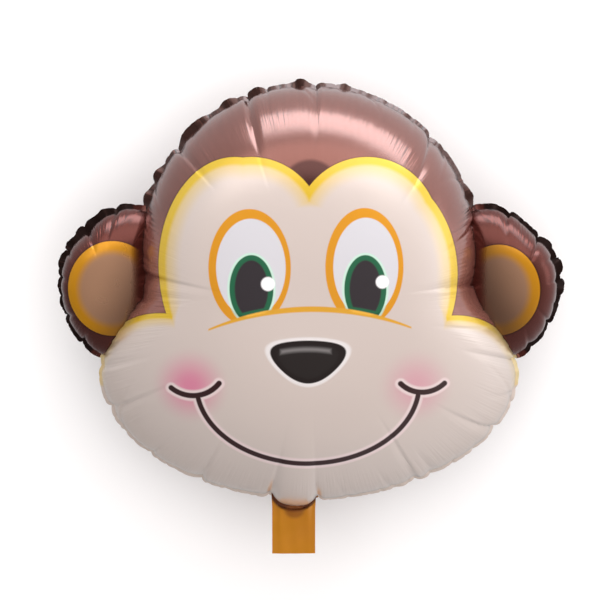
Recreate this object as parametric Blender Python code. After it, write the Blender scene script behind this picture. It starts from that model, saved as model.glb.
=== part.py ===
"""Foil balloon in the shape of a monkey's head, filled and lying on its back.

Metres, +Z up. The face looks up, the top of the head points to +Y and the filling neck to -Y. The origin
is on the floor, at the middle of the flat spot that the balloon rests on.
"""

import math
from collections import namedtuple

import bmesh
import bpy

# Head outline at the seam: a round dome over wider jowls
DOME_RADIUS = 0.1655
DOME_RISE = 0.0465  # the dome's middle, above the head's middle
JOWL_HALF_WIDTH = 0.2055
JOWL_HALF_HEIGHT = 0.1240
JOWL_DROP = 0.072  # the jowls' middle, below the head's middle
JOWL_FULLNESS = 1.95  # power of the jowls' oval: 2 is an ellipse
WAIST_SHARPNESS = 15  # how tightly the dome's side turns into the jowl

# Filled thickness, and the round that each lobe swells to in its middle, away from its outline
HEAD_HALF_THICKNESS = 0.112
HEAD_CROWN_RADIUS = 0.188
EAR_HALF_THICKNESS = 0.041
EAR_CROWN_RADIUS = 0.055
CROWN_POWER = 3  # how late the round turns into the outline, on the way out
FLAT_SPOT_RADIUS = 0.040

# Ears: round lobes whose straight root is pinched into the side of the dome
EAR_REACH = 0.094  # from the root line to the tip
EAR_ROUND_WIDTH = 0.068  # half-width of the ear's oval
EAR_ROUND_HEIGHT = 0.0785  # half-height of the ear's oval
EAR_RISE = 0.016  # the ear's middle, above the head's middle
EAR_ROOT_INSET = 0.011  # how far the root lies inside the dome's side
EAR_SUMMIT_SHARE = 0.50  # the ear's thickest place, as a share of its reach
EAR_ROOT_SHARPNESS = 9

# Heat-sealed seam round the edge
SEAM_WIDTH = 0.0055
SEAM_ROOT_THICKNESS = 0.0016
SEAM_TIP_THICKNESS = 0.0008

# Puckers, where the seam is drawn in and the foil folds
MAIN_CREASE_DEGREES = (6, 26, 54, 88, 107, 131, 170, 188, 208, 239, 258, 273, 301, 326, 344)
MAIN_CREASE_DEPTH = 0.0055
MAIN_CREASE_REACH = 0.24  # share of the way from the seam to the middle
SMALL_CREASE_DEPTH = 0.0028
SMALL_CREASE_REACH = 0.10
HEAD_PUCKER_DEGREES = 9
EAR_PUCKER_DEGREES = 23
PUFF_HEIGHT = 0.0012  # how far the foil swells out between two puckers

# Filling neck: a flat tube of the same foil, under the chin
NECK_WIDTH = 0.044
NECK_LENGTH = 0.050  # from the swollen chin to the open end
NECK_OFFSET = -0.015  # to the side, from the head's middle
NECK_THICKNESS = 0.0024
NECK_EDGE_THICKNESS = 0.0010
NECK_SEALED_EDGE = 0.004
NECK_FLARE = 0.009  # radius of the curve between neck and chin
NECK_ROOT_DEPTH = 0.020  # how far the neck's solid runs inside the head
THROAT_SWELL = 0.010  # how far the gas swells the chin out over the neck

# Mesh density
HEAD_RINGS = 12
EAR_RINGS = 8
POINTS_PER_PUCKER = 3
FLARE_STEPS = 4

HEAD_RISE = HEAD_HALF_THICKNESS - SEAM_ROOT_THICKNESS / 2
SEAM_HEIGHT = SEAM_ROOT_THICKNESS / 2 + HEAD_RISE * math.sqrt(1 - (FLAT_SPOT_RADIUS / HEAD_CROWN_RADIUS) ** 3)

Station = namedtuple("Station", "angle depth reach")
Pillow = namedtuple("Pillow", "middle outline stations half_thickness crown_radius flat_radius rings")


def clear_scene():
    """Removes every object."""
    for item in list(bpy.data.objects):
        bpy.data.objects.remove(item, do_unlink=True)


def foil_material(name, colour, roughness, metallic):
    """Returns a Principled material for the foil."""
    material = bpy.data.materials.new(name)
    material.use_nodes = True
    shader = material.node_tree.nodes["Principled BSDF"]
    shader.inputs["Base Color"].default_value = (*colour, 1.0)
    shader.inputs["Roughness"].default_value = roughness
    shader.inputs["Metallic"].default_value = metallic
    material.diffuse_color = (*colour, 1.0)
    return material


def oval_level(x, y, middle, half_width, half_height, power):
    """Returns 1 on the oval's edge, less inside and more outside."""
    across = abs((x - middle[0]) / half_width)
    up = abs((y - middle[1]) / half_height)
    return (across**power + up**power) ** (1 / power)


def oval_reach(angle, middle, half_width, half_height, power=2):
    """Returns the distance from the origin to an oval's far side, in one direction."""
    near, far = 0.0, 2 * (half_width + half_height)
    for _ in range(50):
        half = (near + far) / 2
        level = oval_level(half * math.cos(angle), half * math.sin(angle), middle, half_width, half_height, power)
        near, far = (half, far) if level < 1 else (near, half)
    return near


def throat_swell(angle):
    """Returns how far the chin swells out in one direction, a half-round as wide as the neck."""
    chin = JOWL_DROP + JOWL_HALF_HEIGHT
    from_neck = (angle - math.atan2(-chin, NECK_OFFSET) + math.pi) % (2 * math.pi) - math.pi
    across = chin * math.tan(max(-1.0, min(1.0, from_neck))) / (NECK_WIDTH / 2)
    return THROAT_SWELL * math.sqrt(max(0.0, 1 - across**2))


def head_outline(angle):
    """Returns the head's seam radius: the dome or the jowls, whichever reaches farther, blended."""
    dome = oval_reach(angle, (0, DOME_RISE), DOME_RADIUS, DOME_RADIUS)
    jowls = oval_reach(angle, (0, -JOWL_DROP), JOWL_HALF_WIDTH, JOWL_HALF_HEIGHT, JOWL_FULLNESS)
    return (dome**WAIST_SHARPNESS + jowls**WAIST_SHARPNESS) ** (1 / WAIST_SHARPNESS) + throat_swell(angle)


def ear_root():
    """Returns how far the ear's root line is from the head's middle."""
    angle = math.atan2(EAR_RISE, DOME_RADIUS)
    return head_outline(angle) * math.cos(angle) - EAR_ROOT_INSET


def ear_outline(angle):
    """Returns the right ear's seam radius about its summit: an oval cut off along the root line."""
    summit = EAR_REACH * EAR_SUMMIT_SHARE
    oval_middle = EAR_REACH - EAR_ROUND_WIDTH - summit
    rounded = oval_reach(angle, (oval_middle, 0), EAR_ROUND_WIDTH, EAR_ROUND_HEIGHT)
    toward_root = max(-math.cos(angle), 1e-6)
    straight = summit / toward_root
    return (rounded**-EAR_ROOT_SHARPNESS + straight**-EAR_ROOT_SHARPNESS) ** (-1 / EAR_ROOT_SHARPNESS)


def puckered(crease_degrees, pucker_degrees):
    """Returns the stations round an outline: main creases, small ones between them, and swellings."""
    stations = []
    count = len(crease_degrees)
    for index, start in enumerate(crease_degrees):
        gap = (crease_degrees[(index + 1) % count] - start) % 360 or 360
        puckers = max(1, round(gap / pucker_degrees))
        for pucker in range(puckers):
            depth = MAIN_CREASE_DEPTH if pucker == 0 else SMALL_CREASE_DEPTH
            reach = MAIN_CREASE_REACH if pucker == 0 else SMALL_CREASE_REACH
            for point in range(POINTS_PER_PUCKER):
                angle = start + gap * (pucker + point / POINTS_PER_PUCKER) / puckers
                crease = (depth, reach) if point == 0 else (-PUFF_HEIGHT, MAIN_CREASE_REACH)
                stations.append(Station(math.radians(angle), *crease))
    return stations


def ring_shares(pillow):
    """Returns each ring's share of the way out, and its height as a share of the half-thickness."""
    shares = []
    for ring in range(1, pillow.rings + 1):
        slope = math.pi / 2 * ring / pillow.rings
        shares.append((math.sin(slope) ** (2 / 3), math.cos(slope)))
    shares[-1] = (1.0, 0.0)
    if pillow.flat_radius:
        flat = pillow.flat_radius / pillow.crown_radius
        shares[0] = (flat, math.sqrt(1 - flat**3))
    return shares


def foil_point(pillow, station, share, height, side):
    """Returns a point of the front or back sheet, pushed in where the foil is creased."""
    radius = pillow.outline(station.angle)
    rise = pillow.half_thickness - SEAM_ROOT_THICKNESS / 2
    fade = max(0.0, (share - 1 + station.reach) / station.reach)
    push = -station.depth * fade**1.5
    to_outline = (radius - pillow.crown_radius) * share**CROWN_POWER
    normal_out = 1.5 * rise * share**2
    normal_up = (pillow.crown_radius + (CROWN_POWER + 1) * to_outline) * height
    length = math.hypot(normal_out, normal_up)
    out = (pillow.crown_radius + to_outline) * share + push * normal_out / length
    up = SEAM_ROOT_THICKNESS / 2 + rise * height + push * normal_up / length
    up = max(up, SEAM_ROOT_THICKNESS / 2)
    return pillow_point(pillow, station.angle, out, side * up)


def pillow_point(pillow, angle, out, up):
    """Returns a point at a distance out from the pillow's middle and up from the seam."""
    x = pillow.middle[0] + out * math.cos(angle)
    y = pillow.middle[1] + out * math.sin(angle)
    return (x, y, SEAM_HEIGHT + up)


def sheet_rows(mesh, pillow, side):
    """Adds one sheet's points, from the pole to the seam's outer edge, as rows of vertices."""
    rows = []
    for station in pillow.stations:
        radius = pillow.outline(station.angle)
        row = [mesh.verts.new(foil_point(pillow, station, *share, side)) for share in ring_shares(pillow)]
        edge = radius - station.depth + SEAM_WIDTH
        row.append(mesh.verts.new(pillow_point(pillow, station.angle, edge, side * SEAM_TIP_THICKNESS / 2)))
        rows.append(row)
    return rows


def close_middle(mesh, pillow, rows, side):
    """Closes one sheet inside its first ring: with a pole, or with the flat spot on the floor."""
    first_ring = [row[0] for row in rows]
    if pillow.flat_radius and side < 0:
        for vertex in first_ring:
            vertex.co.z = 0.0
        mesh.faces.new(first_ring)
        return
    pole = mesh.verts.new((*pillow.middle, SEAM_HEIGHT + side * pillow.half_thickness))
    for vertex, following in zip(first_ring, first_ring[1:] + first_ring[:1]):
        mesh.faces.new((pole, vertex, following))


def add_pillow(name, pillow, material):
    """Adds one filled lobe: two sheets that meet in a thin puckered seam."""
    mesh = bmesh.new()
    edges = []
    for side in (1, -1):
        rows = sheet_rows(mesh, pillow, side)
        close_middle(mesh, pillow, rows, side)
        for row, following in zip(rows, rows[1:] + rows[:1]):
            for ring in range(len(row) - 1):
                mesh.faces.new((row[ring], row[ring + 1], following[ring + 1], following[ring]))
        edges.append([row[-1] for row in rows])
    front, back = edges
    for index, vertex in enumerate(front):
        following = (index + 1) % len(front)
        mesh.faces.new((vertex, front[following], back[following], back[index]))
    return finish_object(name, mesh, material)


def neck_widths():
    """Returns the neck's half-width at each distance from the head's middle, flared at the chin."""
    chin = JOWL_DROP + JOWL_HALF_HEIGHT
    widths = [(chin - NECK_ROOT_DEPTH, NECK_WIDTH / 2 + NECK_FLARE)]
    for step in range(FLARE_STEPS + 1):
        turn = math.pi / 2 * step / FLARE_STEPS
        along = chin + NECK_FLARE * math.sin(turn)
        widths.append((along, NECK_WIDTH / 2 + NECK_FLARE * (1 - math.cos(math.pi / 2 - turn))))
    widths.append((chin + THROAT_SWELL + NECK_LENGTH, NECK_WIDTH / 2))
    return widths


def add_neck(name, material):
    """Adds the flat filling neck, thin at its sealed sides and thicker between them."""
    mesh = bmesh.new()
    sections = []
    for along, half_width in neck_widths():
        inner = half_width - NECK_SEALED_EDGE
        thick, thin = NECK_THICKNESS / 2, NECK_EDGE_THICKNESS / 2
        profile = ((-half_width, -thin), (-inner, -thick), (inner, -thick), (half_width, -thin))
        profile += tuple((x, -z) for x, z in reversed(profile))
        sections.append([mesh.verts.new((NECK_OFFSET + x, -along, SEAM_HEIGHT + z)) for x, z in profile])
    for section, following in zip(sections, sections[1:]):
        for index in range(len(section)):
            beside = (index + 1) % len(section)
            mesh.faces.new((section[index], section[beside], following[beside], following[index]))
    mesh.faces.new(sections[0])
    mesh.faces.new(sections[-1])
    return finish_object(name, mesh, material)


def finish_object(name, mesh, material):
    """Turns a bmesh into a linked object with its faces pointing out."""
    bmesh.ops.recalc_face_normals(mesh, faces=mesh.faces)
    data = bpy.data.meshes.new(name)
    mesh.to_mesh(data)
    mesh.free()
    data.materials.append(material)
    data.shade_smooth()
    item = bpy.data.objects.new(name, data)
    bpy.context.scene.collection.objects.link(item)
    return item


def join_lobe(body, lobe):
    """Joins a lobe to the body as one sealed skin, and hides the loose copy."""
    union = body.modifiers.new(f"join {lobe.name}", "BOOLEAN")
    union.operation = "UNION"
    union.solver = "EXACT"
    union.object = lobe
    lobe.hide_render = True
    lobe.display_type = "WIRE"


def head_pillow():
    """Returns the head's lobe: dome and jowls, with the flat spot under it."""
    stations = puckered(MAIN_CREASE_DEGREES, HEAD_PUCKER_DEGREES)
    return Pillow(
        (0, 0), head_outline, stations, HEAD_HALF_THICKNESS, HEAD_CROWN_RADIUS, FLAT_SPOT_RADIUS, HEAD_RINGS
    )


def ear_pillow(side):
    """Returns one ear's lobe, on the right for side 1 and on the left for side -1."""
    middle = (side * (ear_root() + EAR_REACH * EAR_SUMMIT_SHARE), EAR_RISE)
    outline = ear_outline if side > 0 else lambda angle: ear_outline(math.pi - angle)
    stations = puckered((0,), EAR_PUCKER_DEGREES)
    return Pillow(middle, outline, stations, EAR_HALF_THICKNESS, EAR_CROWN_RADIUS, None, EAR_RINGS)


def main():
    """Builds the balloon."""
    clear_scene()
    foil = foil_material("printed foil", (0.36, 0.24, 0.20), 0.28, 0.8)
    balloon = add_pillow("foil_balloon", head_pillow(), foil)
    join_lobe(balloon, add_pillow("right ear lobe", ear_pillow(1), foil))
    join_lobe(balloon, add_pillow("left ear lobe", ear_pillow(-1), foil))
    join_lobe(balloon, add_neck("filling neck tube", foil))


main()
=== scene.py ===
"""Looks of the monkey foil balloon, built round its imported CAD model.

The balloon is one sealed envelope of metallised film: a printed front sheet and a plain back sheet, welded
together all round in a narrow seam, which runs on into a flat filling neck. It lies on its back, face up.
Metres, +Z up, +Y towards the top of the head.
"""

from __future__ import annotations

import logging
import math
from collections.abc import Callable
from dataclasses import dataclass, field, replace
from enum import Enum
from functools import partial

import bpy
import numpy as np
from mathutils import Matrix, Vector


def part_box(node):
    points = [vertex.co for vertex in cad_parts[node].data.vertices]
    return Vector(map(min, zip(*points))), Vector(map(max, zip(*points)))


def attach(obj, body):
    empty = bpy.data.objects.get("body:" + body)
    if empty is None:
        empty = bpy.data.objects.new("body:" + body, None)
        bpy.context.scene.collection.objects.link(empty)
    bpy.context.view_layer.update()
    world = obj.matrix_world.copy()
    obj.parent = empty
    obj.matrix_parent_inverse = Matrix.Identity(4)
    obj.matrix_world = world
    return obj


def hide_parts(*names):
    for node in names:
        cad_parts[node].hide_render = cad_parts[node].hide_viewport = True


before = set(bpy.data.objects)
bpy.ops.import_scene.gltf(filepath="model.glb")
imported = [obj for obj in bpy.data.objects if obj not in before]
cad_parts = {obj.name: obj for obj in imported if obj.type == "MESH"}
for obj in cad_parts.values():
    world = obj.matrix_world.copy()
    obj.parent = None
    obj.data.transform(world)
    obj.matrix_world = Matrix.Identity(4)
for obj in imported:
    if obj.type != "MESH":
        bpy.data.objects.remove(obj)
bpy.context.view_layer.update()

LOG = logging.getLogger("balloon")
BODY = "root"
NODE = "foil_balloon"

Colour = tuple[float, float, float]
Place = tuple[float, float]
Socket = bpy.types.NodeSocket
Material = bpy.types.Material


class Side(Enum):
    """The two sheets of film, by the way they swell from the seam."""

    FRONT = 1
    BACK = -1


class Zone(Enum):
    """The material slots of the envelope."""

    FACE = 0
    EAR = 1
    BACK = 2
    NECK = 3


def close_in(
    near: np.ndarray, far: np.ndarray, passes: Callable[[np.ndarray], np.ndarray], halvings: int = 40
) -> np.ndarray:
    """Halves stretches again and again, to find where each one stops passing a test.

    Args:
        near: Their ends that pass.
        far: Their ends that don't.
        passes: The test.
        halvings: How often they are halved.

    Returns:
        The last values that pass.
    """
    for _ in range(halvings):
        half = (near + far) / 2
        passed = passes(half)
        near, far = np.where(passed, half, near), np.where(passed, far, half)
    return near


def oval_reach(
    angle: np.ndarray, middle: Place, half_width: float, half_height: float, power: float = 2.0
) -> np.ndarray:
    """Finds how far an oval's far side is from the origin.

    Args:
        angle: Directions, in radians.
        middle: The oval's middle.
        half_width: Half of its width.
        half_height: Half of its height.
        power: 2 for an ellipse, more for a squarer oval.

    Returns:
        The distance in each direction.
    """

    def inside(distance: np.ndarray) -> np.ndarray:
        """Returns which distances end inside the oval."""
        across = np.abs((distance * np.cos(angle) - middle[0]) / half_width)
        up = np.abs((distance * np.sin(angle) - middle[1]) / half_height)
        return across**power + up**power < 1

    return close_in(np.zeros_like(angle), np.full_like(angle, 2 * (half_width + half_height)), inside, 48)


def smooth_step(value: np.ndarray) -> np.ndarray:
    """Returns a soft rise from 0 to 1."""
    value = np.clip(value, 0, 1)
    return value * value * (3 - 2 * value)


def signed_turn(angle: np.ndarray, start: float) -> np.ndarray:
    """Returns how far an angle is from another, between minus and plus half a turn."""
    return (angle - start + math.pi) % (2 * math.pi) - math.pi


@dataclass(frozen=True)
class Lobe:
    """One filled lobe of the balloon: two sheets that swell from a common outline.

    It is round out to about the crown's radius, and takes on the outline's shape from there to the seam. A place
    on it is given by its direction and its share of the way out, 0 in the middle and 1 at the seam.
    """

    middle: Place
    half_thickness: float
    crown_radius: float
    crown_power: float = 3.0
    film_gap: float = 0.0006
    widest_share: float = 1.6

    def outline(self, angle: np.ndarray) -> np.ndarray:
        """Returns the seam's radius in each direction."""
        raise NotImplementedError

    def spread(self, angle: np.ndarray, share: np.ndarray) -> np.ndarray:
        """Finds how far out a point is that lies some share of the way to the seam.

        Args:
            angle: Directions from the lobe's middle.
            share: 0 at the middle, 1 at the seam.

        Returns:
            The distances from the middle, seen from above.
        """
        to_outline = (self.outline(angle) - self.crown_radius) * share**self.crown_power
        return (self.crown_radius + to_outline) * share

    def height(self, share: np.ndarray) -> np.ndarray:
        """Returns a sheet's height above the seam's middle plane, flat on top and steep at the seam."""
        swell = np.sqrt(np.clip(1 - share**3, 0, 1))
        return self.film_gap / 2 + (self.half_thickness - self.film_gap / 2) * swell

    def points(self, angle: np.ndarray, share: np.ndarray) -> np.ndarray:
        """Returns points of the smooth front sheet, with the seam's plane at height 0."""
        out = self.spread(angle, share)
        x = self.middle[0] + out * np.cos(angle)
        y = self.middle[1] + out * np.sin(angle)
        return np.stack([x, y, self.height(share)], axis=-1)

    def normals(self, angle: np.ndarray, share: np.ndarray) -> np.ndarray:
        """Returns the smooth front sheet's outward normals."""
        to_outline = (self.outline(angle) - self.crown_radius) * share**self.crown_power
        out = 1.5 * self.half_thickness * share**2
        up = (self.crown_radius + (self.crown_power + 1) * to_outline) * np.sqrt(np.clip(1 - share**3, 0, 1))
        length = np.hypot(out, up)
        return np.stack([out * np.cos(angle), out * np.sin(angle), up], axis=-1) / length[..., None]

    def share_at(self, x: np.ndarray, y: np.ndarray) -> tuple[np.ndarray, np.ndarray]:
        """Finds where a point seen from above lies on the lobe.

        Args:
            x: Places across.
            y: Places up.

        Returns:
            Each point's direction from the lobe's middle and its share of the way out, above 1 outside.
        """
        angle = np.arctan2(y - self.middle[1], x - self.middle[0])
        distance = np.hypot(x - self.middle[0], y - self.middle[1])
        widest = np.full_like(distance, self.widest_share)
        return angle, close_in(np.zeros_like(distance), widest, lambda half: self.spread(angle, half) < distance)


@dataclass(frozen=True)
class HeadLobe(Lobe):
    """The head: a round dome over wider jowls, with the chin swollen out over the neck."""

    middle: Place = (0.0, 0.0)
    half_thickness: float = 0.112
    crown_radius: float = 0.188
    dome_radius: float = 0.1670
    dome_rise: float = 0.0465
    jowl_half_width: float = 0.2070
    jowl_half_height: float = 0.1266
    jowl_drop: float = 0.072
    jowl_fullness: float = 1.95
    waist_sharpness: float = 15.0
    throat_swell: float = 0.0085
    throat_power: float = 0.75
    neck_width: float = 0.044
    neck_offset: float = -0.015
    flat_spot_radius: float = 0.040

    def chin(self) -> float:
        """Returns how far the chin's seam is below the head's middle."""
        return self.jowl_drop + self.jowl_half_height

    def outline(self, angle: np.ndarray) -> np.ndarray:
        """Returns the seam's radius in each direction."""
        dome = oval_reach(angle, (0, self.dome_rise), self.dome_radius, self.dome_radius)
        jowls = oval_reach(
            angle, (0, -self.jowl_drop), self.jowl_half_width, self.jowl_half_height, self.jowl_fullness
        )
        sharpness = self.waist_sharpness
        return (dome**sharpness + jowls**sharpness) ** (1 / sharpness) + self.throat(angle)

    def throat(self, angle: np.ndarray) -> np.ndarray:
        """Returns how far the gas swells the chin out in each direction, over the width of the neck."""
        neck_angle = math.atan2(-self.chin(), self.neck_offset)
        from_neck = np.clip(signed_turn(angle, neck_angle), -1, 1)
        across = self.chin() * np.tan(from_neck) / (self.neck_width / 2)
        return self.throat_swell * np.clip(1 - across**2, 0, 1) ** self.throat_power

    def rest_depth(self) -> float:
        """Returns how far the floor is below the seam's middle plane."""
        return float(self.height(np.array(self.flat_spot_radius / self.crown_radius)))


@dataclass(frozen=True)
class EarLobe(Lobe):
    """An ear: a round lobe whose straight root is pinched into the side of the dome, a little flatter on top."""

    half_thickness: float = 0.041
    crown_radius: float = 0.055
    reach: float = 0.0920
    round_width: float = 0.0668
    round_height: float = 0.0768
    summit_share: float = 0.50
    root_sharpness: float = 12.0
    top_cut: float = 0.0065
    top_cut_degrees: float = 72.0
    top_cut_spread: float = 24.0
    side: int = 1

    @classmethod
    def on(cls, head: HeadLobe, side: int, rise: float = 0.016, root_inset: float = 0.011) -> EarLobe:
        """Places an ear on the head.

        Args:
            head: The head that carries it.
            side: 1 for the ear at +X, -1 for the ear at -X.
            rise: Its middle's height on the head.
            root_inset: How far its root lies inside the dome's side.

        Returns:
            The ear's lobe.
        """
        angle = np.array(math.atan2(rise, head.dome_radius))
        root = float(head.outline(angle) * np.cos(angle)) - root_inset
        return cls(middle=(side * (root + cls.reach * cls.summit_share), rise), side=side)

    def outline(self, angle: np.ndarray) -> np.ndarray:
        """Returns the seam's radius in each direction: an oval cut off along the root."""
        outward = angle if self.side > 0 else math.pi - angle
        summit = self.reach * self.summit_share
        middle = (self.reach - self.round_width - summit, 0)
        rounded = oval_reach(outward, middle, self.round_width, self.round_height)
        straight = summit / np.maximum(-np.cos(outward), 1e-6)
        sharpness = self.root_sharpness
        from_cut = (np.degrees(outward) - self.top_cut_degrees + 180) % 360 - 180
        cut = self.top_cut * np.exp(-((from_cut / self.top_cut_spread) ** 2))
        return (rounded**-sharpness + straight**-sharpness) ** (-1 / sharpness) - cut


@dataclass(frozen=True)
class Creases:
    """Folds that run in from the seam: sharp valleys, steep on one side, that narrow and fade on their way in.

    Each array holds one value for a crease: its direction, its depth at the seam, how far in it reaches, its
    half-width at the seam, how far it turns aside, in radians, on the way in, and its steep side, 1 or -1. A crease
    is narrower on its steep side, by the steep share, and where it ends, by the end width.
    """

    angle: np.ndarray
    depth: np.ndarray
    reach: np.ndarray
    half_width: np.ndarray
    lean: np.ndarray
    steep: np.ndarray
    steep_share: float = 0.38
    end_width: float = 0.35
    fade_power: float = 1.2
    flank_power: float = 1.7

    def longer(self, reach: float, lean: float) -> Creases:
        """Returns the same creases with another reach and lean, which still meet these ones at the seam."""
        return replace(self, reach=self.reach * reach, lean=self.lean * lean)

    def groove(self, angle: np.ndarray, out: np.ndarray, from_seam: np.ndarray) -> np.ndarray:
        """Finds how deep the film is pushed in.

        Args:
            angle: Directions of the columns.
            out: The points' distances from the lobe's middle, a row for each ring.
            from_seam: Their distances from the seam, along the film.

        Returns:
            The depth at each point.
        """
        total = np.zeros_like(out)
        for centre, depth, reach, half_width, lean, steep in zip(
            self.angle, self.depth, self.reach, self.half_width, self.lean, self.steep
        ):
            aside = signed_turn(angle, centre)
            near = np.abs(aside) < abs(lean) + 2.5 * half_width / max(float(out[-1].mean()), 0.03)
            rows = from_seam.min(axis=1) < reach
            block = np.ix_(rows, near)
            fade = np.clip(1 - from_seam[block] / reach, 0, 1)
            across = (aside[near] - lean * (1 - fade)) * out[block]
            width = half_width * (self.end_width + (1 - self.end_width) * fade)
            width = width * np.where(across * steep > 0, self.steep_share, 1.0)
            flank = np.clip(1 - np.abs(across) / width, 0, 1) ** self.flank_power
            total[block] += depth * fade**self.fade_power * flank
        return total


def fill_creases(
    main: tuple[tuple[float, float, float, float], ...],
    radius: float,
    fold_width: float,
    pitches: tuple[float, float],
    reaches: tuple[float, float],
    depths: tuple[float, float],
    seed: int,
) -> Creases:
    """Adds two sizes of smaller creases between the main ones.

    Args:
        main: Degrees, depth, reach and lean in degrees of each main crease.
        radius: The lobe's usual radius, which turns a pitch into an angle.
        fold_width: Half-width of a main crease.
        pitches: Distance between small creases and between fine ones.
        reaches: How far small and fine creases run in.
        depths: How deep they are.
        seed: Fixes their irregular places.

    Returns:
        All the creases.
    """
    random = np.random.default_rng(seed)
    rows = [
        (math.radians(a), depth, reach, fold_width, math.radians(lean), 1 if index % 3 else -1)
        for index, (a, depth, reach, lean) in enumerate(main)
    ]
    starts = sorted(math.radians(crease[0]) % (2 * math.pi) for crease in main)
    for pitch, reach, depth in zip(pitches, reaches, depths):
        corners = starts + [starts[0] + 2 * math.pi]
        for start, end in zip(corners, corners[1:]):
            count = max(1, round((end - start) * radius / pitch))
            for index in range(1, count):
                angle = start + (end - start) * (index + random.uniform(-0.25, 0.25)) / count
                length = reach * random.uniform(0.4, 1.6)
                lean = random.normal(0, 0.3) * length / radius
                steep = random.choice([-1, 1])
                rows.append((angle, depth * random.uniform(0.3, 1.5), length, pitch * 0.45, lean, steep))
    return Creases(*np.array(rows).T)


@dataclass
class Stock:
    """Collects points and faces of one mesh."""

    points: list[np.ndarray] = field(default_factory=list)
    ways: list[np.ndarray] = field(default_factory=list)
    faces: list[np.ndarray] = field(default_factory=list)
    zones: list[np.ndarray] = field(default_factory=list)
    count: int = 0
    sharp_degrees: float = 42.0

    def add(self, points: np.ndarray, way: np.ndarray) -> np.ndarray:
        """Adds points.

        Args:
            points: Their places, in any grid.
            way: For each point its place round the lobe, in metres on a circle, and how near the seam it is.

        Returns:
            Their indices, in the same grid.
        """
        size = points.shape[:-1]
        self.points.append(points.reshape(-1, 3))
        self.ways.append(np.broadcast_to(way, (*size, 3)).reshape(-1, 3))
        indices = np.arange(self.count, self.count + int(np.prod(size))).reshape(size)
        self.count += indices.size
        return indices

    def grid(self, rows: np.ndarray, zone: Zone | np.ndarray, closed: bool = True) -> None:
        """Adds quads between neighbouring rows of indices.

        Args:
            rows: Indices, one row for each ring.
            zone: The faces' material slot, or one for each column.
            closed: Whether each row joins up with its own start.
        """
        following = np.roll(rows, -1, axis=1)
        width = rows.shape[1] if closed else rows.shape[1] - 1
        quads = np.stack([rows[:-1], rows[1:], following[1:], following[:-1]], axis=-1)[:, :width]
        slots = zone.value if isinstance(zone, Zone) else zone[:width]
        self.zones.append(np.broadcast_to(slots, quads.shape[:2]).reshape(-1))
        self.faces.append(quads.reshape(-1, 4))

    def fan(self, pole: int, ring: np.ndarray, zone: Zone) -> None:
        """Adds triangles between a pole and the first ring round it."""
        triangles = np.stack([np.full_like(ring, pole), ring, np.roll(ring, -1), np.full_like(ring, -1)], axis=-1)
        self.faces.append(triangles)
        self.zones.append(np.full(len(ring), zone.value))

    def mesh(self, name: str) -> bpy.types.Mesh:
        """Makes the mesh, shaded smooth, with its ways in an attribute.

        Args:
            name: The mesh's name.

        Returns:
            The new mesh.
        """
        faces = np.concatenate(self.faces)
        counts = np.where(faces[:, 3] < 0, 3, 4)
        mesh = bpy.data.meshes.new(name)
        mesh.vertices.add(self.count)
        mesh.vertices.foreach_set("co", np.concatenate(self.points).astype(np.float32).ravel())
        mesh.loops.add(int(counts.sum()))
        mesh.loops.foreach_set("vertex_index", faces[faces >= 0].astype(np.int32))
        mesh.polygons.add(len(faces))
        mesh.polygons.foreach_set("loop_start", (np.cumsum(counts) - counts).astype(np.int32))
        mesh.update(calc_edges=True)
        mesh.validate()
        mesh.shade_smooth()
        mesh.set_sharp_from_angle(angle=math.radians(self.sharp_degrees))
        zone = mesh.attributes.new("film_zone", "INT", "FACE")
        zone.data.foreach_set("value", np.concatenate(self.zones).astype(np.int32))
        way = mesh.attributes.new("foil_way", "FLOAT_VECTOR", "POINT")
        way.data.foreach_set("vector", np.concatenate(self.ways).astype(np.float32).ravel())
        return mesh


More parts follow.
